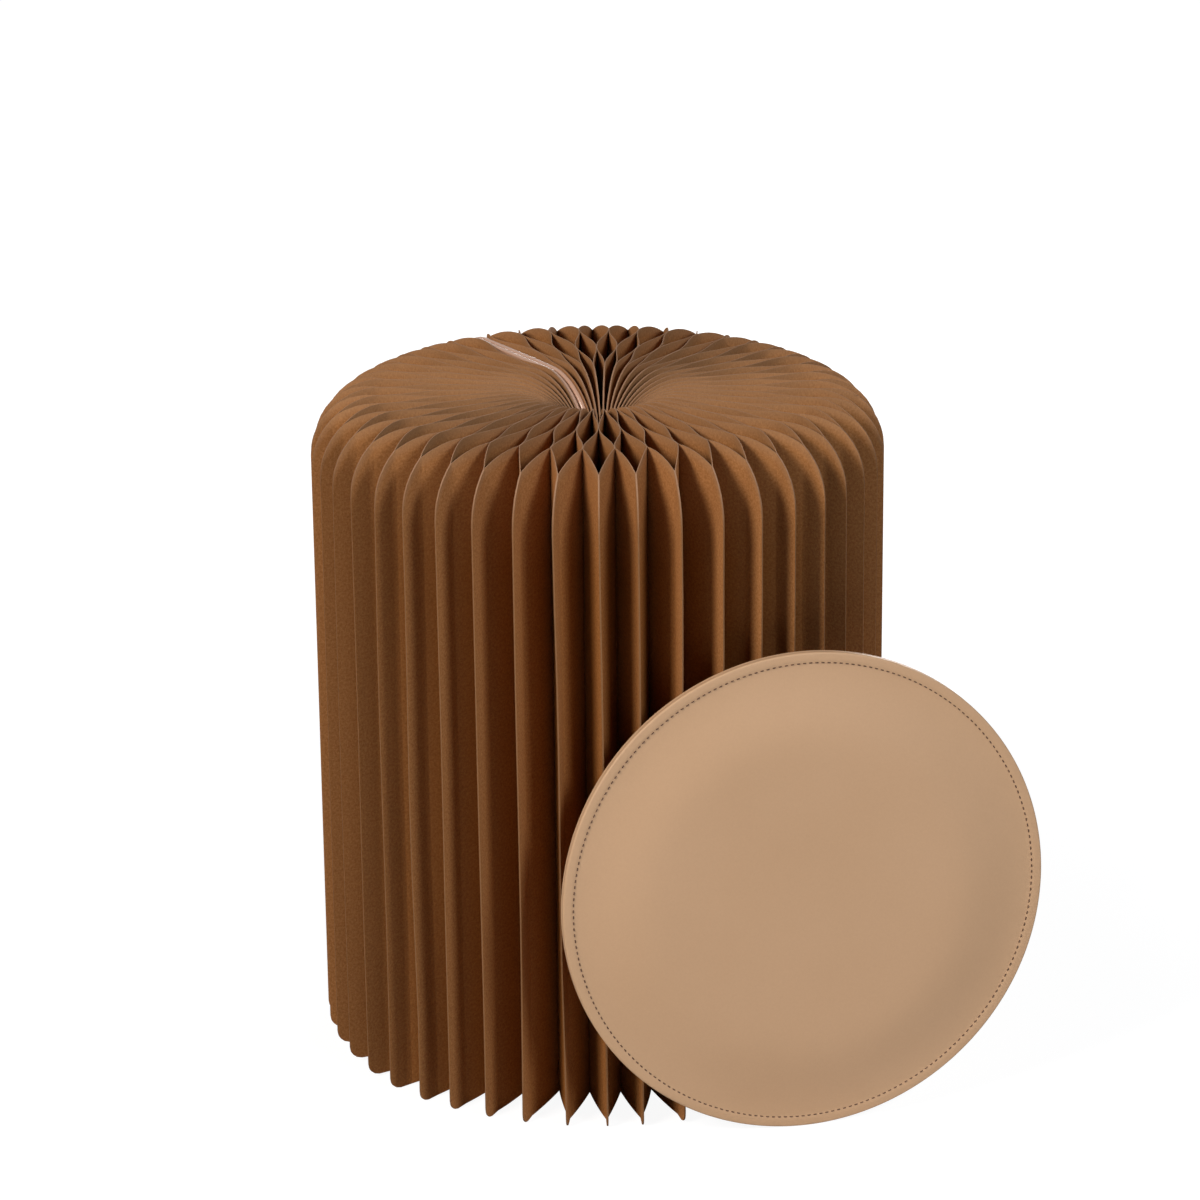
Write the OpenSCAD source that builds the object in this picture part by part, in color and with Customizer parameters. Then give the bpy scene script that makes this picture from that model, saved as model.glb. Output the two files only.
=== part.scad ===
// Folding paper pouf: a fan of glued kraft leaves between two covered end boards, opened right
// round into a stool, and a loose round pad that leans against it.
// The floor is Z = 0 and the Z axis is the middle of the opened pouf.
// An azimuth starts at the front, -Y, and grows anticlockwise as seen from above.

/* [Pouf] */
// Diameter of the opened pouf
pouf_d = 355; // [320:5:380]
// Height of the pouf
pouf_h = 420; // [360:5:450]
// Number of leaf pairs, each of two sheets of paper
leaf_pairs = 44; // [36:1:48]
// Thickness of the paper
paper_t = 0.45; // [0.3:0.05:0.5]
// Azimuth of the seam where the two covers meet
seam_az = -148.3; // [-180:0.1:180]
// How much closer the leaves stand where the fan starts than where it ends
crowding = 0.035; // [0:0.005:0.05]

/* [Leaf outline] */
// Radius of the rounded shoulder, at the outer top corner
shoulder_r = 40; // [20:1:60]
// Radius of the rounded heel, at the outer bottom corner
heel_r = 8; // [4:1:14]
// Radius of the inner top corner, which makes the dimple in the seat
dimple_r = 48; // [20:1:60]
// Distance from the middle to the inner edges of the leaves
spine_r = 8.5; // [8:0.5:12]
// How high the bottom edge is hollowed between the glued outer edge and the spine
hollow_h = 6; // [0:0.5:10]

/* [Glue] */
// Width of the glue strips inside the fan
strip_w = 5; // [4:1:12]
// Width of the glued outer edge of a pair, which the pouf stands on
edge_strip_w = 16; // [15:1:24]
// Room between the glued faces of two neighbouring pairs
glue_gap = 0.2; // [0.1:0.05:0.3]

/* [Covers] */
// Thickness of the stiff board in a cover
board_t = 2.5; // [2:0.1:4]
// Thickness of the leather-look skin
skin_t = 0.6; // [0.4:0.1:1]
// Width of the skin's edge that is turned in under the lining
turn_in = 14; // [8:1:20]
// Rounding of the wrapped outer edge
wrap_r = 1.2; // [0.7:0.1:1.5]
// Gap between the two closed covers
seam_gap = 0.3; // [0.2:0.1:1]
// Diameter of a closing magnet
magnet_d = 12; // [8:1:14]
// Thickness of a closing magnet
magnet_t = 2; // [1:0.5:2]
// Number of magnets in each cover
magnet_count = 3; // [2:1:5]

/* [Seat pad] */
// Diameter of the pad
pad_d = 300; // [260:5:300]
// Thickness of the pad at its sewn edge
pad_edge_t = 6; // [5:0.5:6]
// Height of the crown above the sewn edge
pad_crown = 5.5; // [2:0.5:12]
// Thickness of the two sheets of the cover
pad_cover_t = 1; // [0.6:0.1:1.4]
// Distance from the pad's edge to the line of stitches
stitch_inset = 6.5; // [5:0.5:8]
// How far the thread pulls the front down
stitch_pull = 0.5; // [0:0.1:1]
// Diameter of the stiffening board inside
stiffener_d = 280; // [220:5:280]
// Thickness of the stiffening board
stiffener_t = 2; // [1:0.5:2]
// Place of the pad's middle from left to right
pad_x = 122; // [110:1:130]
// Place of the pad's middle from front to back
pad_y = -166.2; // [-180:0.1:-166]
// Azimuth that the front of the pad faces
pad_az = 14.1; // [10:0.1:18]
// How far the pad leans back
pad_tilt = 2.9; // [2:0.1:4]

/* [Hidden] */
$fn = 96;
pouf_r = pouf_d / 2;
cover_t = board_t + 2 * skin_t;
cover_face = cover_t + seam_gap / 2;
curve_steps = 4;
glue_parts = [0.25, 0.5, 0.75];
spine_strip = 3;
past = 1;
magnet_inset = 16;
magnet_play = 0.05;
pad_r = pad_d / 2;
rim_r = pad_edge_t / 2;
stitch_r = pad_r - stitch_inset;
flange_r = pad_r - rim_r;
dome_steps = 8;
rim_steps = 4;

// A number with two digits, so that the names sort in order
function two_digits(number) = number < 10 ? str("0", number) : str(number);
function pair_name(pair) = str("leaf_pair_", two_digits(pair + 1));

// The fan runs from u = 0 at the left cover to u = 1 at the right one.
// Angle from the seam at u
function fan_angle(u) = 360 * (u - crowding * u * (1 - u));
// Sideways shift of the leaf line at u, because the covers push the two ends apart
function fan_shift(u) = cover_face * (1 - 2 * u);
// Middle of a pair in the fan
function pair_u(pair) = (pair + 0.5) / leaf_pairs;
// A smooth step from 0 to 1
function ease(t) = t * t * (3 - 2 * t);

// Glue strips of a leaf as [start, end, opening]. Opening 0 is where the two sheets of a pair
// are glued to each other, and 1 is where a sheet is glued to the neighbouring pair.
strips = [
    [spine_r, spine_r + spine_strip, 0],
    [glue_parts[0] * pouf_r - strip_w / 2, glue_parts[0] * pouf_r + strip_w / 2, 1],
    [glue_parts[1] * pouf_r - strip_w / 2, glue_parts[1] * pouf_r + strip_w / 2, 0],
    [glue_parts[2] * pouf_r - strip_w / 2, glue_parts[2] * pouf_r + strip_w / 2, 1],
    [pouf_r - edge_strip_w, pouf_r, 0]
];

// Points of a leaf as [distance, opening], from the end of one strip to the start of the next.
// The paper bends softly inside the fan, but at the glued outer edge it is creased, and the two
// sheets run straight from there.
function bend(a, b) =
    b[1] == pouf_r ? [] : [
        for (i = [1 : curve_steps - 1])
            let (t = i / curve_steps)
                [a[1] + (b[0] - a[1]) * t, a[2] + (b[2] - a[2]) * ease(t)]
    ];
// Points of a leaf from strip a to strip b, both whole
function run(a, b) = concat(
    [for (i = [a : b]) each concat(
        [[strips[i][0], strips[i][2]], [strips[i][1], strips[i][2]]],
        i < b ? bend(strips[i], strips[i + 1]) : []
    )]
);
// Points of a cell inside a pair: from the end of strip a to the start of strip b
function cell_run(a, b) =
    let (whole = run(a, b))
        [for (i = [1 : len(whole) - 2]) whole[i]];

// Where a sheet of a pair stands, in the pair's own frame: X out, Y across, Z up.
// side is -1 or 1, and shift is the distance from the middle of the paper towards that side.
function sheet_point(pair, side, place, shift) =
    let (
        opening = place[1],
        u = pair_u(pair) + side * opening / (2 * leaf_pairs),
        turn = fan_angle(u) - fan_angle(pair_u(pair)),
        inside = (1 - opening) * paper_t / 2 - opening * (paper_t + glue_gap) / 2,
        across = fan_shift(u) + side * (inside + shift)
    )
    [
        place[0] * cos(turn) - across * sin(turn),
        place[0] * sin(turn) + across * cos(turn) - fan_shift(pair_u(pair))
    ];
function sheet_line(pair, side, places, shift) =
    [for (place = places) sheet_point(pair, side, place, shift)];
function reversed(list) = [for (i = [len(list) - 1 : -1 : 0]) list[i]];
// Outline round both sides of a pair: the outside of the pair, or the wall of one of its cells
function pair_outline(pair, places, shift) = concat(
    sheet_line(pair, 1, places, shift),
    reversed(sheet_line(pair, -1, places, shift))
);
// Wall of a cell, which comes to a point at both ends
function cell_outline(pair, places) =
    let (near = sheet_line(pair, -1, places, -paper_t / 2))
        concat(
            sheet_line(pair, 1, places, -paper_t / 2),
            [for (i = [len(near) - 2 : -1 : 1]) near[i]]
        );

// What a rounded corner takes off a block, for a corner that points to out_x and out_z
module corner_waste(centre, radius, out_x, out_z, width) {
    size = radius + past;
    translate([centre[0], 0, centre[1]])
        difference() {
            translate([out_x > 0 ? 0 : -size, -width / 2, out_z > 0 ? 0 : -size])
                cube([size, width, size]);
            rotate([90, 0, 0])
                cylinder(r = radius, h = width + 2 * past, center = true);
        }
}

// The three rounded corners of a leaf or a cover, drawn in by inset. The small one is gone
// where the inset is more than its radius.
module outline_waste(inset, width) {
    corner_waste(
        [pouf_r - shoulder_r, pouf_h - shoulder_r], shoulder_r - inset, 1, 1, width
    );
    if (inset < heel_r)
        corner_waste([pouf_r - heel_r, heel_r], heel_r - inset, 1, -1, width);
    corner_waste(
        [spine_r + dimple_r, pouf_h - dimple_r], dimple_r - inset, -1, 1, width
    );
}

// What the hollow takes off the bottom of a leaf: it rises from the glued outer edge to the next
// glue strip and is flat from there inwards
module hollow_waste(width) {
    rotate([90, 0, 0])
        linear_extrude(width, center = true)
            polygon([
                [0, -past],
                [pouf_r - edge_strip_w, -past],
                [pouf_r - edge_strip_w, 0],
                [strips[3][1], hollow_h],
                [0, hollow_h]
            ]);
}

// Two sheets of kraft paper with the cells between them
module leaf_pair(pair) {
    width = 4 * PI * pouf_r / leaf_pairs;
    color("peru")
        rotate([0, 0, seam_az - 90 + fan_angle(pair_u(pair))])
            translate([0, fan_shift(pair_u(pair)), 0])
                difference() {
                    linear_extrude(pouf_h)
                        difference() {
                            polygon(pair_outline(pair, run(0, 4), paper_t / 2));
                            polygon(cell_outline(pair, cell_run(0, 2)));
                            polygon(cell_outline(pair, cell_run(2, 4)));
                        }
                    outline_waste(0, width);
                    hollow_waste(width);
                }
}

// Puts a cover in the seam: the left one as drawn, the right one mirrored in the seam
module at_seam(left) {
    rotate([0, 0, seam_az - 90])
        mirror([0, left ? 0 : 1, 0])
            children();
}

// A slab of a leaf's outline, drawn in by inset, between two distances from the seam
module cover_slab(inset, from, to) {
    difference() {
        translate([spine_r + inset, from, inset])
            cube([pouf_r - spine_r - 2 * inset, to - from, pouf_h - 2 * inset]);
        outline_waste(inset, 4 * cover_face);
    }
}

// Block that rounds the wrapped edge of a cover
module wrapped_edge() {
    linear_extrude(pouf_h)
        union() {
            translate([spine_r, seam_gap / 2])
                square([pouf_r - wrap_r - spine_r, cover_t]);
            translate([spine_r, seam_gap / 2 + wrap_r])
                square([pouf_r - spine_r, cover_t - 2 * wrap_r]);
            for (y = [seam_gap / 2 + wrap_r, cover_face - wrap_r])
                translate([pouf_r - wrap_r, y])
                    circle(wrap_r, $fn = 32);
        }
}

module magnet_places() {
    first = heel_r + magnet_inset + magnet_d;
    last = pouf_h - shoulder_r - magnet_d;
    for (i = [0 : magnet_count - 1])
        translate([
            pouf_r - magnet_inset,
            seam_gap / 2 + skin_t,
            first + (last - first) * i / (magnet_count - 1)
        ])
            rotate([-90, 0, 0])
                children();
}

// Stiff board, with a pocket for each magnet
module cover_board(left) {
    color("silver")
        at_seam(left)
            difference() {
                cover_slab(skin_t, seam_gap / 2 + skin_t, cover_face - skin_t);
                magnet_places()
                    translate([0, 0, -past])
                        cylinder(d = magnet_d + 2 * magnet_play, h = magnet_t + past);
            }
}

module closing_magnets(left) {
    color("dimgray")
        at_seam(left)
            magnet_places()
                cylinder(d = magnet_d, h = magnet_t);
}

// Leather-look sheet over the outside of the board and round its edges
module cover_skin(left) {
    color("tan")
        at_seam(left)
            difference() {
                intersection() {
                    cover_slab(0, seam_gap / 2, cover_face);
                    wrapped_edge();
                }
                cover_slab(skin_t, seam_gap / 2 + skin_t, cover_face - skin_t);
                cover_slab(turn_in, cover_face - skin_t - past / 2, cover_face + past);
            }
}

// Kraft sheet that fills the window in the turned-in skin, and that the fan is glued to
module cover_lining(left) {
    color("burlywood")
        at_seam(left)
            cover_slab(turn_in, cover_face - skin_t, cover_face);
}

// Stands the pad on its edge on the floor, leaning against the pleats.
// The pad's own frame has Z out of its front and Z = 0 at the stitches.
module at_lean() {
    height = rim_r * (1 + sin(pad_tilt)) + flange_r * cos(pad_tilt);
    translate([pad_x, pad_y, height])
        rotate([90 - pad_tilt, 0, pad_az])
            children();
}

// Front of the pad from its middle to the equator of its rim, drawn in by inset
function pad_front_line(inset) = concat(
    [for (i = [0 : dome_steps])
        let (t = sin(90 * i / dome_steps))
            [stitch_r * t, (pad_crown + stitch_pull) * (1 - pow(t, 4)) - stitch_pull - inset]],
    [for (i = [0 : rim_steps])
        let (a = 90 - 90 * i / rim_steps)
            [flange_r + (rim_r - inset) * cos(a), (rim_r - inset) * sin(a) - rim_r]]
);
// Back of the pad from the equator of its rim to its middle, drawn in by inset
function pad_back_line(inset) = concat(
    [for (i = [0 : rim_steps])
        let (a = -90 * i / rim_steps)
            [flange_r + (rim_r - inset) * cos(a), (rim_r - inset) * sin(a) - rim_r]],
    [[0, inset - pad_edge_t]]
);

module pad_front_cover() {
    color("tan")
        at_lean()
            rotate_extrude()
                polygon(concat(pad_front_line(0), reversed(pad_front_line(pad_cover_t))));
}

module pad_back_cover() {
    color("tan")
        at_lean()
            rotate_extrude()
                polygon(concat(pad_back_line(0), reversed(pad_back_line(pad_cover_t))));
}

module pad_foam() {
    color("ivory")
        at_lean()
            difference() {
                rotate_extrude()
                    polygon(concat(pad_front_line(pad_cover_t), pad_back_line(pad_cover_t)));
                translate([0, 0, pad_cover_t - pad_edge_t - past])
                    cylinder(d = stiffener_d, h = stiffener_t + past);
            }
}

module pad_stiffener() {
    color("silver")
        at_lean()
            translate([0, 0, pad_cover_t - pad_edge_t])
                cylinder(d = stiffener_d, h = stiffener_t);
}

for (pair = [0 : leaf_pairs - 1])
    leaf_pair(pair);
cover_board(true);  // cover_board_left
cover_skin(true);  // cover_skin_left
cover_lining(true);  // cover_lining_left
closing_magnets(true);  // closing_magnets_left
cover_board(false);  // cover_board_right
cover_skin(false);  // cover_skin_right
cover_lining(false);  // cover_lining_right
closing_magnets(false);  // closing_magnets_right
pad_front_cover();
pad_back_cover();
pad_foam();
pad_stiffener();
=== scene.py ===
# %% [markdown]
# # A folding paper pouf
#
# The real thing is a stool of kraft paper. Eighty-eight leaves are glued to each other in
# narrow strips, so that the stack opens like a paper honeycomb into a full circle, and two
# tan covers meet at a seam behind. A thin round pad leans against its front.
#
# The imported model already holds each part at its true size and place. Here those parts get
# their looks: the leaves are redrawn with finer curves, the pad is puffed up like the real
# one, and every surface gets a finish. All lengths are in metres.

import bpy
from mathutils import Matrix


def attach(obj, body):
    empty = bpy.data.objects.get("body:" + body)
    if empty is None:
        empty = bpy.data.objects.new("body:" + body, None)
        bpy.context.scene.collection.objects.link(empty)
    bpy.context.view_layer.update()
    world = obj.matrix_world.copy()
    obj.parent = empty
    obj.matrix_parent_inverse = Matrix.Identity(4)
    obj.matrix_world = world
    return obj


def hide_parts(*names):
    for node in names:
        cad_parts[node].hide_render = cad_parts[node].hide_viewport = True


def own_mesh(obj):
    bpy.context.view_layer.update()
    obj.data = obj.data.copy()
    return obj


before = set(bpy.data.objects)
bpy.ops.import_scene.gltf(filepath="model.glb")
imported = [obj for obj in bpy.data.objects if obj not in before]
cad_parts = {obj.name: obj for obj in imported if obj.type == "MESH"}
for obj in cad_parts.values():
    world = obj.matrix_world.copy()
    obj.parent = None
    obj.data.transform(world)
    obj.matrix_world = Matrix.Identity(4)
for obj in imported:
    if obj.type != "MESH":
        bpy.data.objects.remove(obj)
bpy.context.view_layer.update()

# %% [markdown]
# ## The camera
#
# The photograph was taken from well back with a long lens, looking down a little. The lens and
# the place were found by matching the pouf's two sides, the rings of glue lines in its top and
# the pad's edge. The photograph isn't quite level, so the camera leans over a little too.

# %% Camera
import math

import bpy
from mathutils import Matrix

# The photograph's width and its focal length, in pixels
PICTURE = 1200
FOCAL = 4270
SENSOR = 36
CAMERA_PLACE = (0, -2.540, 1.130)
# How far the camera turns aside, looks down and leans over, in degrees
TURN_ASIDE = -0.011
LOOK_DOWN = 18.48
LEAN_OVER = -0.59

camera = bpy.data.objects.new("camera", bpy.data.cameras.new("camera"))
camera.data.sensor_width = SENSOR
camera.data.lens = SENSOR * FOCAL / PICTURE
camera.matrix_world = (
    Matrix.Translation(CAMERA_PLACE)
    @ Matrix.Rotation(math.radians(TURN_ASIDE), 4, "Z")
    @ Matrix.Rotation(math.radians(90 - LOOK_DOWN), 4, "X")
    @ Matrix.Rotation(math.radians(LEAN_OVER), 4, "Z")
)
bpy.context.scene.collection.objects.link(camera)
bpy.context.scene.camera = camera
bpy.context.scene.view_settings.view_transform = "Standard"
print(f"lens {camera.data.lens:.1f} mm")

# %% [markdown]
# ## Helpers for finishes
#
# Every finish here is a Principled shader with a few texture nodes in front of it. Adding a
# node takes several lines by hand, so one helper adds a node, sets its values and makes its
# links at once. A second helper mixes two colours, since the mix node has many sockets of
# the same name.

# %% Node helpers


def add(tree, kind, settings=None, **values):
    """Adds a node. Of the values, one for each socket, a socket is linked and another is set."""
    made = tree.nodes.new(kind)
    for name, value in (settings or {}).items():
        setattr(made, name, value)
    for name, value in values.items():
        socket = made.inputs[name.replace("_", " ")]
        if isinstance(value, bpy.types.NodeSocket):
            tree.links.new(value, socket)
        else:
            socket.default_value = value
    return made


def mix_colours(tree, share, first, second, way="MIX"):
    """Mixes two colours, which are sockets or numbers, and returns the socket."""
    made = tree.nodes.new("ShaderNodeMix")
    made.data_type = "RGBA"
    made.blend_type = way
    for index, value in ((0, share), (6, first), (7, second)):
        if isinstance(value, bpy.types.NodeSocket):
            tree.links.new(value, made.inputs[index])
        else:
            made.inputs[index].default_value = value
    return made.outputs[2]


def new_finish(name):
    """A new material, with its tree and its Principled shader."""
    material = bpy.data.materials.new(name)
    material.use_nodes = True
    return material, material.node_tree, material.node_tree.nodes["Principled BSDF"]


def colour(red, green, blue):
    """A colour as seen on screen, from 0 to 255, turned into the light values that nodes take."""
    seen = [c / 255 for c in (red, green, blue)]
    return (*(c / 12.92 if c < 0.04045 else ((c + 0.055) / 1.055) ** 2.4 for c in seen), 1)


print("128 on screen is", round(colour(128, 128, 128)[0], 3), "of full light")

# %% [markdown]
# ## The sky
#
# The photograph is a cut-out on pure white. A white picture could be made with much light on
# a white floor, but that light would also wash out the paper. Instead the sky is white only to
# the camera and to reflections. To the paper it is nearly dark, since the depth of the folds is
# nearly black in the photograph.

# %% Sky
SKY_LIGHT = 0.012

world = bpy.data.worlds.new("studio")
bpy.context.scene.world = world
world.use_nodes = True
sky = world.node_tree
sky.nodes.clear()
ray = add(sky, "ShaderNodeLightPath")
seen = add(sky, "ShaderNodeMath", {"operation": "MAXIMUM"})
sky.links.new(ray.outputs["Is Camera Ray"], seen.inputs[0])
sky.links.new(ray.outputs["Is Glossy Ray"], seen.inputs[1])
seen_too = add(sky, "ShaderNodeMath", {"operation": "MAXIMUM"})
sky.links.new(seen.outputs[0], seen_too.inputs[0])
sky.links.new(ray.outputs["Is Transmission Ray"], seen_too.inputs[1])
dim = add(sky, "ShaderNodeBackground", Color=(1, 1, 1, 1), Strength=SKY_LIGHT)
white = add(sky, "ShaderNodeBackground", Color=(1, 1, 1, 1), Strength=1.0)
choice = add(sky, "ShaderNodeMixShader", Fac=seen_too.outputs[0])
sky.links.new(dim.outputs[0], choice.inputs[1])
sky.links.new(white.outputs[0], choice.inputs[2])
add(sky, "ShaderNodeOutputWorld", Surface=choice.outputs[0])
print("the sky is white to the camera and dim to the paper")

# %% [markdown]
# ## The floor
#
# The floor is one flat sheet. To the lamps' light it is pale grey, so that it throws some back
# into the pleats. To the camera it glows almost white, brighter further out, with a little
# plain grey on top, which the lamps light. Where they don't reach it the floor looks darker, so
# it still takes a faint shadow.

# %% Floor sheet
FLOOR_REACH = 9.0
corners = [(x * FLOOR_REACH, y * FLOOR_REACH, 0) for x, y in ((-1, -1), (1, -1), (1, 1), (-1, 1))]
floor_mesh = bpy.data.meshes.new("floor")
floor_mesh.from_pydata(corners, [], [(0, 1, 2, 3)])
floor = bpy.data.objects.new("floor", floor_mesh)
bpy.context.scene.collection.objects.link(floor)
print(f"the floor is {2 * FLOOR_REACH:.0f} m wide")

# %% Floor finish
pale, tree, shader = new_finish("pale_floor")
shader.inputs["Base Color"].default_value = (0.6, 0.6, 0.6, 1)
shader.inputs["Roughness"].default_value = 0.9
shader.inputs["Specular IOR Level"].default_value = 0.1
ray = add(tree, "ShaderNodeLightPath")
soft = add(tree, "ShaderNodeBsdfDiffuse", Color=(0.15, 0.15, 0.15, 1))
far_out = add(tree, "ShaderNodeVectorMath", {"operation": "LENGTH"})
tree.links.new(add(tree, "ShaderNodeTexCoord").outputs["Object"], far_out.inputs[0])
strength = add(
    tree, "ShaderNodeMapRange",
    Value=far_out.outputs["Value"], From_Min=0.35, From_Max=1.0, To_Min=0.93, To_Max=1.0,
)
glow = add(tree, "ShaderNodeEmission", Color=(1, 1, 1, 1), Strength=strength.outputs[0])
shown = add(tree, "ShaderNodeAddShader")
tree.links.new(soft.outputs[0], shown.inputs[0])
tree.links.new(glow.outputs[0], shown.inputs[1])
choice = add(tree, "ShaderNodeMixShader", Fac=ray.outputs["Is Camera Ray"])
tree.links.new(shader.outputs[0], choice.inputs[1])
tree.links.new(shown.outputs[0], choice.inputs[2])
tree.links.new(choice.outputs[0], tree.nodes["Material Output"].inputs["Surface"])
floor_mesh.materials.append(pale)
print("the floor wears", pale.name)

# %% [markdown]
# ## The lamps
#
# Where the pleats turn dark tells where the light came from: two soft boxes, one on either side
# of the camera and well above the pouf. The left one is the stronger and a little warmer. A
# third lamp lights the back, which the photograph doesn't show. Its middle is level with the
# pouf's top, so that hardly any of its light gets over to the front.

# %% Lamps


def lamp(name, place, aim, width, power, tint):
    """A square soft lamp at a place, turned to a point. The power is in watts."""
    data = bpy.data.lights.new(name, "AREA")
    data.size = width
    data.energy = power
    data.color = tint
    made = bpy.data.objects.new(name, data)
    made.location = place
    way = Matrix.Translation(aim).to_translation() - made.location
    made.rotation_mode = "QUATERNION"
    made.rotation_quaternion = way.to_track_quat("-Z", "Y")
    bpy.context.scene.collection.objects.link(made)


AIM = (0, -0.03, 0.22)
lamp("left_box", (-1.965, -2.163, 2.13), AIM, 0.95, 95, (1.0, 0.96, 0.90))
lamp("right_box", (1.887, -2.230, 2.13), AIM, 0.95, 57, (0.88, 0.94, 1.0))
lamp("back_lamp", (0.5, 2.25, 0.42), AIM, 0.8, 36, (1.0, 0.98, 0.97))

# %% [markdown]
# ## Kraft paper
#
# The leaves are brown kraft paper, matt and a little mottled, with fibres that run mostly
# one way and a few dark flecks. A picture of paper could be laid on, but noise is lighter
# and never repeats: a rough one for the cloudy pulp, a stretched one for the fibres and a fine
# one for the flecks. They read the sheet's own flat map, in metres, so that the grain follows
# each leaf round its bends and stays on it when the fan folds. The paper is made paler for the
# first few millimetres under its top, and inside the folds it gets painted shade: a deeper
# brown than on the outer strips. So the leaves carry two more numbers: how far a point lies
# below the leaf's top, and how far in from its outer edge.

# %% Kraft paper finish
# Painted shade: what the paper's colour is multiplied with deep inside the folds
FOLD_SHADE_BROWN = (0.76, 0.64, 0.40, 1)
FLECK_BROWN = colour(88, 56, 34)
PALE_TOP_DEPTH = 0.007


def kraft(name, dark, light, pale_top_colour, from_map=True):
    """Brown paper. With the flat map, it is paler under its top and has painted shade inside the
    folds.
    """
    material, tree, shader = new_finish(name)
    place = add(tree, "ShaderNodeTexCoord").outputs["UV" if from_map else "Object"]
    along = add(tree, "ShaderNodeMapping", Vector=place, Scale=(2300, 380, 2300))
    pulp = add(tree, "ShaderNodeTexNoise", Vector=place, Scale=640, Detail=6, Roughness=0.78)
    fibre = add(tree, "ShaderNodeTexNoise", Vector=along.outputs[0], Scale=1, Detail=4)
    fleck = add(tree, "ShaderNodeTexNoise", Vector=place, Scale=1500, Detail=1)
    few = add(
        tree, "ShaderNodeMapRange",
        Value=fleck.outputs["Fac"], From_Min=0.68, From_Max=0.78, To_Min=0, To_Max=0.35,
    )
    spread = add(
        tree, "ShaderNodeMapRange",
        Value=pulp.outputs["Fac"], From_Min=0.40, From_Max=0.60,
    )
    cloudy = mix_colours(tree, spread.outputs[0], dark, light)
    if from_map:
        inward = add(tree, "ShaderNodeAttribute", {"attribute_name": "from_edge"})
        below = add(tree, "ShaderNodeAttribute", {"attribute_name": "below_top"})
        fold_shade_depth = add(
            tree, "ShaderNodeMapRange",
            Value=below.outputs["Fac"], From_Min=0.01, From_Max=0.07,
        )
        # Painted shade: the colour is multiplied towards the fold brown, more so further in from
        # the outer edge and further below the top.
        kept = add(
            tree, "ShaderNodeMapRange",
            Value=inward.outputs["Fac"], From_Min=0.004, From_Max=0.03, To_Max=fold_shade_depth.outputs[0],
        )
        cloudy = mix_colours(tree, kept.outputs[0], cloudy, FOLD_SHADE_BROWN, "MULTIPLY")
        # Paler for the first few millimetres under the top.
        pale_under_top = add(
            tree, "ShaderNodeMapRange",
            Value=below.outputs["Fac"], From_Min=0, From_Max=PALE_TOP_DEPTH, To_Min=0.75, To_Max=0,
        )
        cloudy = mix_colours(tree, pale_under_top.outputs[0], cloudy, pale_top_colour)
    hairy = mix_colours(tree, 0.28, cloudy, fibre.outputs["Fac"], "OVERLAY")
    flecked = mix_colours(tree, few.outputs[0], hairy, FLECK_BROWN)
    own = add(tree, "ShaderNodeObjectInfo")
    tone = add(
        tree, "ShaderNodeMapRange",
        Value=own.outputs["Random"], To_Min=0.94, To_Max=1.05,
    )
    toned = add(tree, "ShaderNodeHueSaturation", Color=flecked, Value=tone.outputs[0])
    tree.links.new(toned.outputs[0], shader.inputs["Base Color"])
    height = add(tree, "ShaderNodeMath", {"operation": "ADD"})
    tree.links.new(pulp.outputs["Fac"], height.inputs[0])
    tree.links.new(fibre.outputs["Fac"], height.inputs[1])
    bump = add(
        tree, "ShaderNodeBump", Height=height.outputs[0], Strength=0.45, Distance=0.00012
    )
    tree.links.new(bump.outputs[0], shader.inputs["Normal"])
    shader.inputs["Roughness"].default_value = 0.82
    shader.inputs["Specular IOR Level"].default_value = 0.08
    return material


paper = kraft("kraft_paper", colour(144, 94, 53), colour(170, 117, 71), colour(163, 121, 86))
lining_paper = kraft(
    "lining_paper", colour(140, 98, 62), colour(168, 124, 84), colour(176, 131, 94), False
)
print("paper:", paper.name, lining_paper.name)

# %% [markdown]
# Where the paper is cut, its inside shows: paler and a little pink, since the brown is
# strongest on the face. These edges draw the thin light lines on the top of the pouf. The
# upright edges in front are made darker, hardly paler than the sheet, so the colour fades from
# one to the other over the rounded shoulder.

# %% Cut edge finish
# The heights between which the darker upright edge turns into the pale top edge
UPRIGHT_BELOW = 0.374
SAWN_ABOVE = 0.414
cut_edge, tree, shader = new_finish("paper_cut_edge")
place = add(tree, "ShaderNodeTexCoord").outputs["Object"]
rough_cut = add(tree, "ShaderNodeTexNoise", Vector=place, Scale=900, Detail=2)
pale_top_colour = mix_colours(tree, rough_cut.outputs["Fac"], colour(142, 107, 82), colour(174, 136, 109))
upright = mix_colours(tree, rough_cut.outputs["Fac"], colour(112, 78, 50), colour(140, 100, 68))
height = add(tree, "ShaderNodeSeparateXYZ", Vector=place)
rounding = add(
    tree, "ShaderNodeMapRange", {"interpolation_type": "SMOOTHSTEP"},
    Value=height.outputs["Z"], From_Min=UPRIGHT_BELOW, From_Max=SAWN_ABOVE,
)
tree.links.new(
    mix_colours(tree, rounding.outputs[0], upright, pale_top_colour), shader.inputs["Base Color"]
)
shader.inputs["Roughness"].default_value = 0.9
shader.inputs["Specular IOR Level"].default_value = 0.1
print("edge:", cut_edge.name)

# %% [markdown]
# ## The fan's own numbers
#
# The leaves stand in a fan that starts at the left cover and goes right round to the right
# one. The part's construction gives the place of every glue strip by a few formulas, and
# the same formulas are repeated here, so that a redrawn leaf lies where its solid lies.

# %% Fan numbers
POUF_R = 0.1775
POUF_H = 0.420
PAIRS = 44
PAPER = 0.00045
# The turn from the front to where the covers meet, less than nothing because it is to the left
SEAM = math.radians(-148.3)
# The share by which pairs stand closer at the left cover, and further apart at the right one
CROWDING = 0.035
COVER_T = 0.0037
SEAM_GAP = 0.0003
COVER_FACE = COVER_T + SEAM_GAP / 2
# Less than nothing, because glued neighbours sink into each other by this
GLUE_GAP = -0.00005
SPINE_R = 0.0085
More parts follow.
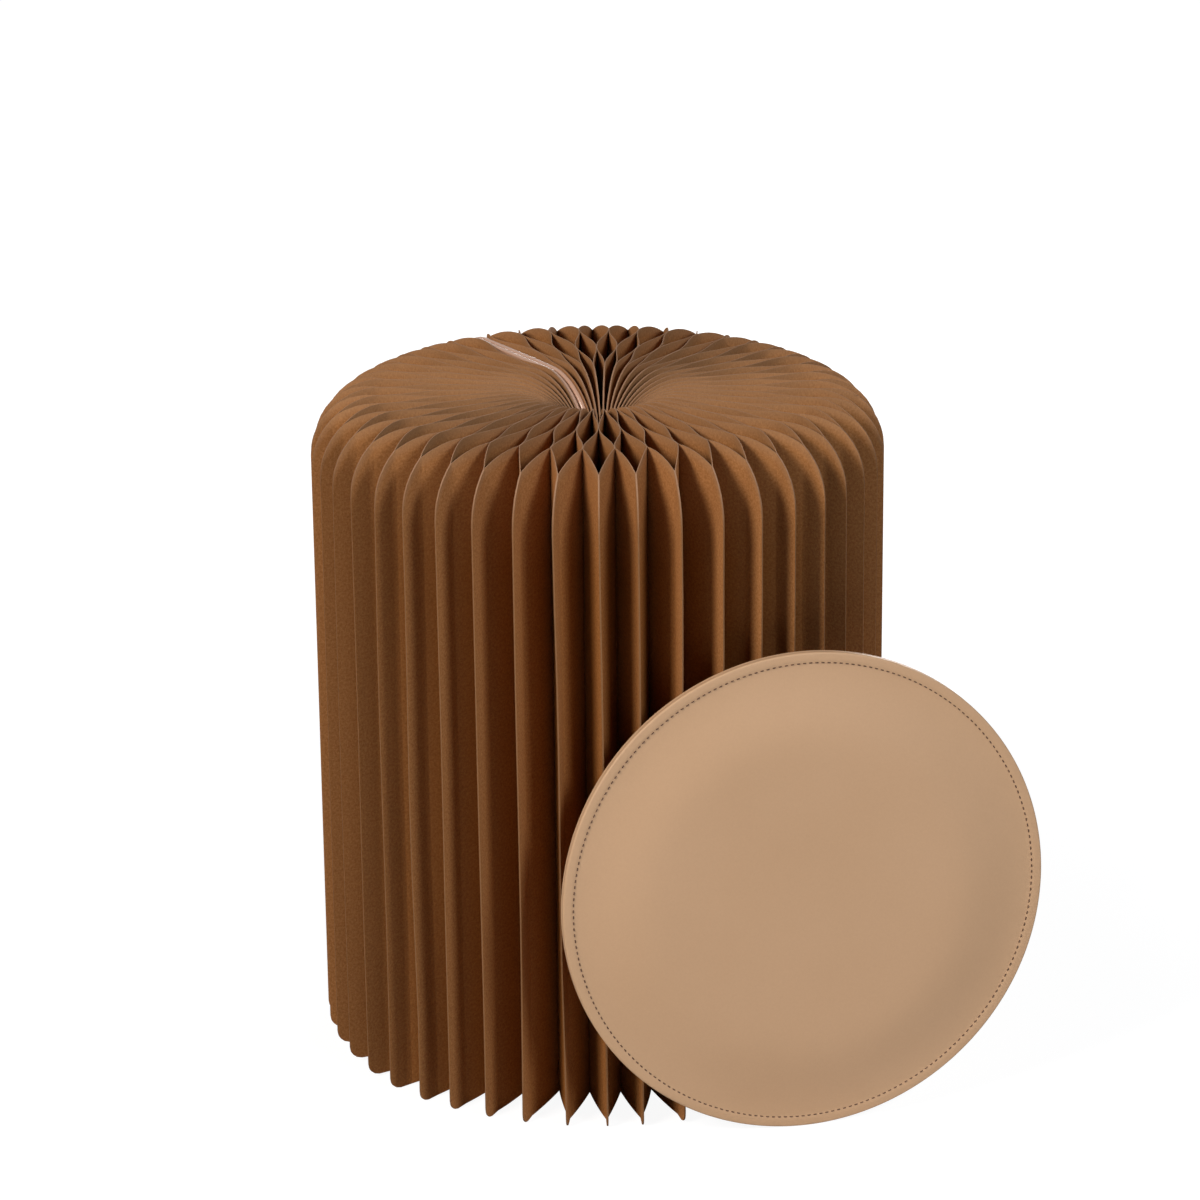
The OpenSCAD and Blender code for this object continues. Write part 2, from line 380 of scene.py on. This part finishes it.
# Roundings of a leaf: outer top, outer bottom and the top at the spine
SHOULDER = 0.040
HEEL = 0.008
DIMPLE = 0.048
HOLLOW = 0.006
SPINE_GLUE = 0.003
EDGE_GLUE = 0.016
HALF_STRIP = 0.0025
# Glue strips: start, end, and 0 where a pair's own sheets meet or 1 where neighbours do
STRIPS = [(SPINE_R, SPINE_R + SPINE_GLUE, 1)]
for share, state in ((0.25, 1), (0.50, 0), (0.75, 1)):
    STRIPS.append((share * POUF_R - HALF_STRIP, share * POUF_R + HALF_STRIP, state))
STRIPS.append((POUF_R - EDGE_GLUE, POUF_R, 0))


def fan_angle(u):
    """The turn from the seam to a place in the fan, 0 at the left cover and 1 at the right."""
    return 2 * math.pi * (u - CROWDING * u * (1 - u))


def fan_shift(u):
    """How far a leaf stands beside the middle, because the covers take room at the seam."""
    return COVER_FACE * (1 - 2 * u)


def pair_u(pair):
    """The place of a pair in the fan. The first pair is number 0."""
    return (pair + 0.5) / PAIRS


print(f"a pair takes {math.degrees(fan_angle(pair_u(21)) - fan_angle(pair_u(20))):.2f} degrees")

# %% [markdown]
# ## Where a sheet bends
#
# Between two glue strips a sheet is free, and it swings from its own partner to its
# neighbour in an S. The S starts and ends flat against the glue, like a bent ruler that is
# held at both ends, so a smooth step gives its shape. Only at the glued outer edge is the
# paper creased, and there the two sheets part in a straight line. Next to the spine there
# is no room to swing, so a sheet stays with its neighbour there. The top and bottom of a
# leaf are rounded at three corners, and the stations across the leaf stand closer there.
# Inside the glued outer edge the bottom is hollowed, so that the pouf stands on its rim.

# %% Leaf outline
import numpy as np


def opening_at(reach_out):
    """0 where the pair's sheets touch each other and 1 where they touch the neighbours."""
    for (_, b, state), (c, d, other) in zip(STRIPS, STRIPS[1:]):
        if reach_out <= b:
            return float(state)
        if reach_out < c:
            t = (reach_out - b) / (c - b)
            eased = t if d == POUF_R else t * t * (3 - 2 * t)
            return state + (other - state) * eased
    return float(STRIPS[-1][2])


def freedom_at(reach_out):
    """1 in the middle of a free stretch, 0 on a glue strip and all along next to the spine."""
    for (_, b, _), (c, _, _) in zip(STRIPS[1:], STRIPS[2:]):
        if b < reach_out < c:
            t = (reach_out - b) / (c - b)
            return 4 * t * (1 - t)
    return 0.0


def leaf_bottom(reach_out):
    """Height of a leaf's lower edge: a round heel, then a hollow towards the spine."""
    inside = reach_out - (POUF_R - HEEL)
    if inside > 0:
        return HEEL - math.sqrt(max(0, HEEL**2 - inside**2))
    slope_from, slope_to = STRIPS[4][0], STRIPS[3][1]
    return HOLLOW * min(1, max(0, (slope_from - reach_out) / (slope_from - slope_to)))


def leaf_top(reach_out):
    """Height of a leaf's upper edge: round at the shoulder and at the dimple."""
    inside = reach_out - (POUF_R - SHOULDER)
    if inside > 0:
        return POUF_H - SHOULDER + math.sqrt(max(0, SHOULDER**2 - inside**2))
    inside = SPINE_R + DIMPLE - reach_out
    if inside > 0:
        return POUF_H - DIMPLE + math.sqrt(max(0, DIMPLE**2 - inside**2))
    return POUF_H


# Steps across a free stretch, and the least way from one station to the next
STEPS = 8
CLOSEST = 0.0003
stations = {s for strip in STRIPS for s in strip[:2]}
for (_, b, _), (c, _, _) in zip(STRIPS, STRIPS[1:]):
    stations |= {b + (c - b) * i / STEPS for i in range(1, STEPS)}
stations |= {SPINE_R + DIMPLE * (1 - math.cos(math.radians(a))) for a in range(10, 91, 10)}
stations |= {POUF_R - SHOULDER * (1 - math.sin(math.radians(a))) for a in range(9, 90, 9)}
stations |= {POUF_R - HEEL * (1 - math.sin(math.radians(a))) for a in (30, 60)}
kept = []
for s in sorted(stations):
    if not kept or s - kept[-1] > CLOSEST or s == POUF_R:
        kept.append(s)
stations = kept
print(len(stations), "stations across a leaf")

# %% [markdown]
# ## The leaf pairs
#
# Each pair of leaves is one mesh of two thin sheets. The mesh holds only the face of the
# paper that looks into the cell, and a Solidify modifier adds the thickness outward. The
# modifier stays on, so that the paper keeps its thickness. The rim that Solidify makes is the
# cut edge, with its own finish.
#
# Real paper never hangs quite straight, so the free stretches wander by a few tenths of a
# millimetre, and each outer edge leans a little to one side. The numbers come from a seeded
# generator, so every run gives the same pouf. The edges in front lean about as they do in the
# photograph, by up to two and a half millimetres, and on the left side the leaves hang a few
# millimetres clear of the floor.

# %% Wander, lean and lift
EDGE_WANDER = 0.0006
SHEET_WANDER = 0.00022
REAR_RISE = 0.0013
chance = np.random.default_rng(44)


def wander(size, height):
    """A slow wave over the height of a leaf, of about that size."""
    phases = chance.uniform(0, 2 * math.pi, 3)
    sizes = chance.normal(0, size, 3) / np.array([1, 1.5, 2])
    return sum(a * np.sin(n * math.pi * height / POUF_H + p)
               for n, (a, p) in enumerate(zip(sizes, phases), start=1))


def lean_of(pair, height):
    """How far an outer edge leans aside, in metres. The rows are in millimetres to the left."""
    pairs = (10, 11, 17, 18, 19, 20, 21, 22, 23, 25, 26)
    at_foot = (0, 1, 0.5, -1.5, -1.5, 2, 1, 0, 0, -1, 0)
    at_top = (0, 1.5, 2, 2.5, 0.5, 2.5, 2, 0.5, 0, -2, 0)
    foot, top = (np.interp(pair + 1, pairs, leans) for leans in (at_foot, at_top))
    return -0.001 * np.interp(height, (0.04, 0.36), (foot, top))


def lift_of(pair, reach_out):
    """How far a leaf hangs clear of the floor, which it does towards its outer edge only."""
    pairs, lifts = (1, 5, 8, 10, 11, 12, 13, 14), (0, 4, 5, 4.5, 3.4, 1.7, 0.4, 0)
    return 0.001 * np.interp(pair + 1, pairs, lifts) * (reach_out / POUF_R) ** 2


def rise_of(pair):
    """The tops at the back stand a little higher than those in front."""
    return REAR_RISE * max(0, -math.cos(SEAM + fan_angle(pair_u(pair)))) ** 2


print(f"the tops at the back rise by up to {REAR_RISE * 1000:.1f} mm")

# %% Sheets of a pair
ROWS = 9


def pair_sheets(pair):
    """Points, faces, flat map and place on the leaf, for the two sheets of a pair."""
    heights = np.array([
        np.linspace(leaf_bottom(s) + lift_of(pair, s), leaf_top(s) + rise_of(pair), ROWS)
        for s in stations
    ])
    outer = np.array([
        np.clip((s - STRIPS[3][1]) / (POUF_R - STRIPS[3][1]), 0, 1) for s in stations
    ])
    lean = (outer**1.5)[:, None] * (wander(EDGE_WANDER, heights) + lean_of(pair, heights))
    points, faces, flat, place = [], [], [], []
    for side in (1, -1):
        first = len(points)
        loose = np.array([freedom_at(s) for s in stations])[:, None]
        stray = loose * wander(SHEET_WANDER, heights) + lean
        shift_map = chance.uniform(0, 3, 2)
        for i, s in enumerate(stations):
            opening = opening_at(s)
            u = pair_u(pair) + side * opening / (2 * PAIRS)
            inner = -opening * (PAPER + GLUE_GAP / 2)
            turn = SEAM - math.pi / 2 + fan_angle(u)
            for k in range(ROWS):
                across = fan_shift(u) + side * inner + stray[i, k]
                points.append((
                    s * math.cos(turn) - across * math.sin(turn),
                    s * math.sin(turn) + across * math.cos(turn),
                    heights[i, k],
                ))
                flat.append((s + shift_map[0], heights[i, k] + shift_map[1]))
                place.append((heights[i, -1] - heights[i, k], POUF_R - s))
        for i in range(len(stations) - 1):
            for k in range(ROWS - 1):
                a = first + i * ROWS + k
                quad = (a, a + ROWS, a + ROWS + 1, a + 1)
                faces.append(quad[::-1] if side == 1 else quad)
    return points, faces, flat, np.array(place)


print("a sheet has", (len(stations) - 1) * (ROWS - 1), "faces")

# %% Mesh helpers


def mesh_piece(name, points, faces, finishes, flat=None):
    """A new piece from points and faces, shaded smooth."""
    mesh = bpy.data.meshes.new(name)
    mesh.from_pydata(points, [], faces)
    for finish in finishes:
        mesh.materials.append(finish)
    if flat is not None:
        layer = mesh.uv_layers.new(name="flat")
        corners = np.zeros(len(mesh.loops), np.int32)
        mesh.loops.foreach_get("vertex_index", corners)
        layer.data.foreach_set("uv", np.array(flat, np.float32)[corners].ravel())
    mesh.shade_smooth()
    piece = bpy.data.objects.new(name, mesh)
    bpy.context.scene.collection.objects.link(piece)
    return piece


def sharpen_open_edges(mesh):
    """Marks the edges with one face as sharp, so that a rim isn't shaded into the face."""
    counts = np.zeros(len(mesh.edges), np.int32)
    edges = np.zeros(len(mesh.loops), np.int32)
    mesh.loops.foreach_get("edge_index", edges)
    np.add.at(counts, edges, 1)
    mark = mesh.attributes.new("sharp_edge", "BOOLEAN", "EDGE")
    mark.data.foreach_set("value", counts == 1)


print("a new piece takes a name, points, faces and its finishes")

# %% [markdown]
# Each pair goes where its solid was, wears the paper with the cut edge round it, and rides on
# its own body.

# %% Make the 44 pairs
for pair in range(PAIRS):
    number = f"{pair + 1:02d}"
    points, faces, flat, place = pair_sheets(pair)
    piece = mesh_piece(f"paper_pair_{number}", points, faces, [paper, cut_edge], flat)
    for name, values in (("below_top", place[:, 0]), ("from_edge", place[:, 1])):
        piece.data.attributes.new(name, "FLOAT", "POINT").data.foreach_set("value", values)
    sharpen_open_edges(piece.data)
    thicken = piece.modifiers.new("paper thickness", "SOLIDIFY")
    thicken.thickness = PAPER
    thicken.offset = 1
    thicken.material_offset_rim = 1
    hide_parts(f"leaf_pair_{number}")
    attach(piece, f"pair_{number}")
    turn = SEAM + fan_angle(pair_u(pair))
    across = (math.cos(turn), math.sin(turn), 0)
    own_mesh(piece)
print(f"{PAIRS} pairs, {len(piece.data.polygons)} faces in the last")

# %% [markdown]
# ## Leather-look finishes
#
# The covers and the pad wear a thin coated cloth with a leather print. On the pad it is
# matt, with a grain so fine that it shows only as softness. On the covers it is pulled
# tight over board and shines more at the rounded edge. Both use the same two textures: tiny
# cells for the printed grain, and slow noise for the uneven tone.

# %% Leather-look finish


def leather(name, dark, light, roughness, grain, depth):
    """Coated cloth with a printed grain of about that many cells a metre."""
    material, tree, shader = new_finish(name)
    place = add(tree, "ShaderNodeTexCoord").outputs["Object"]
    cloud = add(tree, "ShaderNodeTexNoise", Vector=place, Scale=9, Detail=3)
    dust = add(tree, "ShaderNodeTexNoise", Vector=place, Scale=700, Detail=3)
    base = mix_colours(tree, cloud.outputs["Fac"], dark, light)
    tree.links.new(
        mix_colours(tree, 0.04, base, dust.outputs["Fac"], "OVERLAY"),
        shader.inputs["Base Color"],
    )
    cells = add(
        tree, "ShaderNodeTexVoronoi", {"feature": "DISTANCE_TO_EDGE"},
        Vector=place, Scale=grain,
    )
    dome = add(
        tree, "ShaderNodeMapRange",
        Value=cells.outputs["Distance"], From_Min=0, From_Max=0.25,
    )
    bump = add(
        tree, "ShaderNodeBump", Height=dome.outputs[0], Strength=0.5, Distance=depth
    )
    tree.links.new(bump.outputs[0], shader.inputs["Normal"])
    shader.inputs["Roughness"].default_value = roughness
    shader.inputs["Specular IOR Level"].default_value = 0.4
    return material


pad_leather = leather(
    "pad_leather", colour(186, 148, 113), colour(194, 156, 122), 0.56, 1300, 0.00002
)
cover_leather = leather(
    "cover_leather", colour(178, 134, 108), colour(190, 146, 120), 0.26, 900, 0.00004
)
cover_shader = cover_leather.node_tree.nodes["Principled BSDF"]
cover_shader.inputs["Specular IOR Level"].default_value = 0.7
print("leather:", pad_leather.name, cover_leather.name)

# %% [markdown]
# ## The two covers
#
# A cover is a stiff board in the outline of a leaf, wrapped in the tan cloth, which is
# turned in over the edges and glued down under a kraft lining. The wrap makes every edge
# round. The skin is drawn as rings of the outline: each ring lies a little further in and a
# little further across, so that they go round the edge from one face to the other.

# %% Cover outline


def arc(centre_x, centre_z, radius, start, end, steps):
    """Points of an arc in the plane of a cover. Angles are in degrees from straight outward."""
    return [
        (centre_x + radius * math.cos(math.radians(a)),
         centre_z + radius * math.sin(math.radians(a)))
        for a in np.linspace(start, end, steps + 1)
    ]


def cover_outline(inset):
    """The outline of a cover, drawn in by inset, always with the same number of points."""
    low, high = inset, POUF_H - inset
    near, far = SPINE_R + inset, POUF_R - inset
    heel = max(HEEL - inset, 0.0001)
    around = [(near, low)]
    around += arc(far - heel, low + heel, heel, -90, 0, 8)
    around += arc(far - (SHOULDER - inset), high - (SHOULDER - inset), SHOULDER - inset, 0, 90, 20)
    around += arc(near + (DIMPLE - inset), high - (DIMPLE - inset), DIMPLE - inset, 90, 180, 20)
    return around


print(len(cover_outline(0)), "points round a cover")

# %% Edge of a cover
# The roundness of the wrapped edge, the cloth's thickness and how far it is turned in
WRAP = 0.0016
SKIN = 0.0006
TURN_IN = 0.014
# Where the two faces lie, measured from the middle of the seam
SEAM_FACE = 0.0004
LEAF_FACE = COVER_FACE

profile = [(0.012, SEAM_FACE + 0.0001), (0.004, SEAM_FACE), (WRAP, SEAM_FACE)]
for a in range(15, 91, 15):
    a = math.radians(a)
    profile.append((WRAP * (1 - math.sin(a)), SEAM_FACE + WRAP * (1 - math.cos(a))))
for a in range(0, 91, 15):
    a = math.radians(a)
    profile.append((WRAP * (1 - math.cos(a)), LEAF_FACE - WRAP * (1 - math.sin(a))))
profile.append((TURN_IN - SKIN, LEAF_FACE))
profile.append((TURN_IN, LEAF_FACE - SKIN / 2))
profile.append((TURN_IN, LEAF_FACE - SKIN))
print(len(profile), "rings from one face round the edge to the other")

# %% Cover skins
round_count = len(cover_outline(0))

for name, way in (("left", 1), ("right", -1)):
    points, faces = [], []
    for inset, across in profile:
        points += [(x, way * across, z) for x, z in cover_outline(inset)]
    for ring in range(len(profile) - 1):
        for i in range(round_count):
            a, b = ring * round_count + i, ring * round_count + (i + 1) % round_count
            quad = (a, b, b + round_count, a + round_count)
            faces.append(quad if way == 1 else quad[::-1])
    face = tuple(range(round_count))
    faces.append(face[::-1] if way == 1 else face)
    skin = mesh_piece(f"cover_wrap_{name}", points, faces, [cover_leather])
    skin.data.transform(Matrix.Rotation(SEAM - math.pi / 2, 4, "Z"))
    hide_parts(f"cover_skin_{name}")
    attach(skin, f"{name}_cover")
print("the covers are", round(COVER_T * 1000, 1), "mm thick")

# %% [markdown]
# ## The pad's place
#
# The pad stands on the floor on its edge and leans back a little against the pleats. Its
# own frame has Z out of its front, with zero at the line of stitches. Every piece of the
# pad is drawn in that frame and then put in place with one matrix.

# %% Pad numbers
PAD_R = 0.150
# Half the thickness of the pad's rim, and the radius where the rim begins
RIM = 0.003
FLANGE_R = PAD_R - RIM
# How round the leather bends over the rim, and the radius of its outside
BEND = 0.0012
EDGE_R = PAD_R - 0.0001
STITCH_R = 0.1435
STITCHES = 239
# How high the front stands over the stitches, and how deep they pull it down
PAD_CROWN = 0.0055
PULL = 0.0005
PAD_X = 0.122
PAD_Y = -0.1662
PAD_TURN = math.radians(14.1)
PAD_TILT = math.radians(2.9)

pad_height = RIM * (1 + math.sin(PAD_TILT)) + FLANGE_R * math.cos(PAD_TILT)
pad_place = (
    Matrix.Translation((PAD_X, PAD_Y, pad_height))
    @ Matrix.Rotation(PAD_TURN, 4, "Z")
    @ Matrix.Rotation(math.pi / 2 - PAD_TILT, 4, "X")
)
print(f"the pad's middle is {pad_height * 1000:.1f} mm above the floor")

# %% [markdown]
# ## The pad's front
#
# Under the front lies a thin sheet of foam that fills it evenly. It ends a little inside the
# stitches, so the front is flat in the middle, slopes down over the foam's edge and runs out
# flat again at the seam. A cloth simulation gives this its life: a round sheet, a little too
# large, is held at the stitches and blown up gently. The small waves that it gets are laid
# over the foam's own form, much weakened, because the real cloth lies nearly smooth.

# %% Blow up the front
RINGS = 30
SPOKES = 120
# How far the slope over the foam's edge reaches in, and how much of the cloth's waves is kept
FOAM_SLOPE = 0.050
WAVES = 0.10
SETTLE_STEPS = 20


def blown_front():
    """Heights of the front at RINGS + 1 rings and SPOKES spokes, from 0 to 1."""
    share = np.linspace(0, 1, RINGS + 1)
    over_edge = np.clip((1 - share) * STITCH_R / FOAM_SLOPE, 0, 1)
    foam = (over_edge**2 * (3 - 2 * over_edge))[:, None]
    turns = np.arange(SPOKES) * 2 * math.pi / SPOKES
    points = [(0, 0, 0)]
    faces = []
    for ring in range(1, RINGS + 1):
        radius = STITCH_R * share[ring]
        points += [(radius * math.cos(t), radius * math.sin(t), 0) for t in turns]
    for i in range(SPOKES):
        faces.append((0, 1 + i, 1 + (i + 1) % SPOKES))
        for ring in range(RINGS - 1):
            a, b = 1 + ring * SPOKES + i, 1 + ring * SPOKES + (i + 1) % SPOKES
            faces.append((a, a + SPOKES, b + SPOKES, b))
    trial = mesh_piece("trial_front", points, faces, [])
    held = trial.vertex_groups.new(name="held")
    held.add(list(range(1 + (RINGS - 1) * SPOKES, len(points))), 1.0, "REPLACE")
    cloth = trial.modifiers.new("cloth", "CLOTH")
    cloth.settings.vertex_group_mass = "held"
    cloth.settings.use_pressure = True
    cloth.settings.uniform_pressure_force = 4
    cloth.settings.shrink_min = -0.012
    cloth.settings.tension_stiffness = 40
    cloth.settings.compression_stiffness = 40
    cloth.settings.bending_stiffness = 2
    cloth.settings.effector_weights.gravity = 0
    scene = bpy.context.scene
    for step in range(1, SETTLE_STEPS + 1):
        scene.frame_set(step)
    settled = trial.evaluated_get(bpy.context.evaluated_depsgraph_get())
    heights = np.array([v.co.z for v in settled.data.vertices])
    scene.frame_set(1)
    bpy.data.objects.remove(trial)
    grid = np.empty((RINGS + 1, SPOKES))
    grid[0] = heights[0]
    grid[1:] = heights[1:].reshape(RINGS, SPOKES)
    top = np.abs(grid).max()
    print(f"the sheet rose {top * 1000:.1f} mm before the foam held it")
    risen = np.clip(np.abs(grid) / top, 0, 1)
    return foam + WAVES * (risen - risen.mean(axis=1, keepdims=True))


front_form = blown_front()
print("share of full height at the middle and halfway:",
      round(float(front_form[0].mean()), 2), round(float(front_form[RINGS // 2].mean()), 2))

# %% [markdown]
# The rest of the front is a narrow flat border outside the stitches. It bends sharply over
# the rim and ends at a seam halfway down the edge. Each stitch pulls the cloth down under
# its thread, so the groove of the seam is a row of small dents. The mesh has two spokes for
# each stitch: one under the thread and one on the bridge to the next.

# %% Form of the front
spokes = 2 * STITCHES
turns = np.arange(spokes) * 2 * math.pi / spokes
under_thread = np.arange(spokes) % 2 == 1


def form_at(radius):
    """Share of the full height at a radius, for every spoke of the finished mesh."""
    ring = min(radius / STITCH_R, 1) * RINGS
    low = min(int(ring), RINGS - 1)
    line = front_form[low] * (low + 1 - ring) + front_form[low + 1] * (ring - low)
    where = turns / (2 * math.pi) * SPOKES
    start = where.astype(int) % SPOKES
    between = where - where.astype(int)
    return line[start] * (1 - between) + line[(start + 1) % SPOKES] * between


print(spokes, "spokes, two for each of", STITCHES, "stitches")

# %% Pad front mesh
# How deep a stitch dents the leather inside its ring, and how far in the dent reaches
DENT = 0.00018
DENT_REACH = 0.0022
# Outside the stitches: how far out, and the height under the thread and on the bridge
BORDER = ((0, -0.0006, -0.0002), (0.0009, -0.00022, -0.00008), (0.0019, -0.00004, 0.00002),
          (0.0028, 0, 0))

rings = []
for radius in np.concatenate([np.linspace(0.004, 0.120, 15), np.linspace(0.125, 0.1425, 10)]):
    close = math.exp(-((STITCH_R - radius) / DENT_REACH) ** 2)
    dent = np.where(under_thread, DENT, 0.0) * close
    height = (PAD_CROWN + PULL) * form_at(radius) - PULL
    rings.append((radius, height - dent))
for outward, threaded, bridge in BORDER:
    rings.append((STITCH_R + outward, np.where(under_thread, threaded, bridge)))
for a in range(90, -1, -15):
    a = math.radians(a)
    radius = EDGE_R - BEND * (1 - math.cos(a))
    rings.append((radius, np.full(spokes, BEND * math.sin(a) - BEND)))
rings.append((EDGE_R, np.full(spokes, -RIM + 0.0003)))
rings.append((EDGE_R - 0.0004, np.full(spokes, -RIM)))

points = [(0, 0, float((PAD_CROWN + PULL) * front_form[0].mean() - PULL))]
faces = []
for radius, height in rings:
    points += [
        (radius * math.cos(t), radius * math.sin(t), float(z)) for t, z in zip(turns, height)
    ]
for i in range(spokes):
    j = (i + 1) % spokes
    faces.append((0, 1 + i, 1 + j))
    for ring in range(len(rings) - 1):
        a, b = 1 + ring * spokes + i, 1 + ring * spokes + j
        faces.append((a, a + spokes, b + spokes, b))
front = mesh_piece("pad_front", points, faces, [pad_leather])
front.data.transform(pad_place)
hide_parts("pad_front_cover", "pad_foam")
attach(front, "seat_pad")
print(len(faces), "faces in the front")

# %% [markdown]
# ## The pad's back and its thread
#
# The back is one flat sheet that meets the front in the seam round the edge. The thread is
# dark brown, in stitches of nearly four millimetres. Each is a short dash of thread that
# bows up between its two holes, with a bridge of leather between one dash and the next.

# %% Pad back
BACK_SPOKES = 240
rings = [(EDGE_R - 0.0004, -RIM), (EDGE_R, -RIM - 0.0003)]
for a in range(0, -91, -15):
    a = math.radians(a)
    radius = EDGE_R - BEND * (1 - math.cos(a))
    rings.append((radius, BEND * math.sin(a) + BEND - 2 * RIM))
rings += [(r, -2 * RIM) for r in (0.140, 0.100, 0.050)]
points, faces = [], []
for radius, height in rings:
    for i in range(BACK_SPOKES):
        turn = 2 * math.pi * i / BACK_SPOKES
        points.append((radius * math.cos(turn), radius * math.sin(turn), height))
for i in range(BACK_SPOKES):
    j = (i + 1) % BACK_SPOKES
    for ring in range(len(rings) - 1):
        a, b = ring * BACK_SPOKES + i, ring * BACK_SPOKES + j
        faces.append((a, a + BACK_SPOKES, b + BACK_SPOKES, b))
last = (len(rings) - 1) * BACK_SPOKES
points.append((0, 0, -2 * RIM))
faces += [(last + i, len(points) - 1, last + (i + 1) % BACK_SPOKES) for i in range(BACK_SPOKES)]
back = mesh_piece("pad_back", points, [f[::-1] for f in faces], [pad_leather])
back.data.transform(pad_place)
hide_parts("pad_back_cover")
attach(back, "seat_pad")
print(len(faces), "faces in the back")

# %% Thread finish
thread, tree, shader = new_finish("brown_thread")
place = add(tree, "ShaderNodeTexCoord").outputs["Object"]
twist = add(tree, "ShaderNodeTexNoise", Vector=place, Scale=3000, Detail=1)
tree.links.new(
    mix_colours(tree, twist.outputs["Fac"], colour(62, 40, 26), colour(100, 68, 46)),
    shader.inputs["Base Color"],
)
shader.inputs["Roughness"].default_value = 0.65
print("thread:", thread.name)

# %% Stitches
THREAD_R = 0.00034
THREAD_SIDES = 6
# Half the length of a dash, as a share of a whole stitch
HALF_DASH = 0.29


def thread_rise(t):
    """Height of the thread along a dash, t from -1 to 1. Its ends dive into their holes."""
    return -0.00045 + 0.00025 * (1 - abs(t) ** 2.5) - 0.0004 * max(0, abs(t) - 0.8) / 0.2


points, faces = [], []
for stitch in range(STITCHES):
    middle_turn = (stitch + 0.5) * 2 * math.pi / STITCHES
    first = len(points)
    for n, t in enumerate(np.linspace(-1, 1, 9)):
        turn = middle_turn + t * HALF_DASH * 2 * math.pi / STITCHES
        here = first + n * THREAD_SIDES
        there = here - THREAD_SIDES
        for k in range(THREAD_SIDES):
            a = 2 * math.pi * k / THREAD_SIDES
            radius = STITCH_R + THREAD_R * math.cos(a)
            points.append((radius * math.cos(turn), radius * math.sin(turn),
                           thread_rise(t) + THREAD_R * math.sin(a)))
            if n:
                after = (k + 1) % THREAD_SIDES
                faces.append((there + k, there + after, here + after, here + k))
stitching = mesh_piece("pad_stitching", points, faces, [thread])
stitching.data.transform(pad_place)
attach(stitching, "seat_pad")
print(STITCHES, "stitches,", round(2 * math.pi * STITCH_R / STITCHES * 1000, 2), "mm each")

# %% [markdown]
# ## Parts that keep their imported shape
#
# The boards, linings, magnets and the stiffener inside the pad are simple parts, and their
# solids are already right. They only get a finish: grey board with pressed fibres, kraft for
# the lining, and nickel for the magnets.

# %% Board finish


def grey_board(name, dark, light):
    """Pressed board of waste paper, with short fibres in every direction."""
    material, tree, shader = new_finish(name)
    place = add(tree, "ShaderNodeTexCoord").outputs["Object"]
    fibre = add(tree, "ShaderNodeTexNoise", Vector=place, Scale=650, Detail=5, Distortion=1.5)
    tree.links.new(
        mix_colours(tree, fibre.outputs["Fac"], dark, light), shader.inputs["Base Color"]
    )
    bump = add(
        tree, "ShaderNodeBump", Height=fibre.outputs["Fac"], Strength=0.3, Distance=0.0001
    )
    tree.links.new(bump.outputs[0], shader.inputs["Normal"])
    shader.inputs["Roughness"].default_value = 0.9
    return material


board = grey_board("grey_board", colour(128, 122, 112), colour(158, 152, 142))
print("board:", board.name)

# %% Magnet finish
nickel, tree, shader = new_finish("nickel")
place = add(tree, "ShaderNodeTexCoord").outputs["Object"]
brushed = add(tree, "ShaderNodeTexNoise", Vector=place, Scale=1200, Detail=2)
tree.links.new(
    mix_colours(tree, brushed.outputs["Fac"], colour(176, 174, 168), colour(198, 196, 190)),
    shader.inputs["Base Color"],
)
shader.inputs["Metallic"].default_value = 1.0
shader.inputs["Roughness"].default_value = 0.3
print("magnets:", nickel.name)

# %% Give the finishes
finishes = {
    "cover_board": board, "pad_stiffener": board,
    "cover_lining": lining_paper, "closing_magnets": nickel,
}
for name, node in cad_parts.items():
    for start, finish in finishes.items():
        if name.startswith(start):
            node.data.materials.clear()
            node.data.materials.append(finish)
            print(name, "is", finish.name)
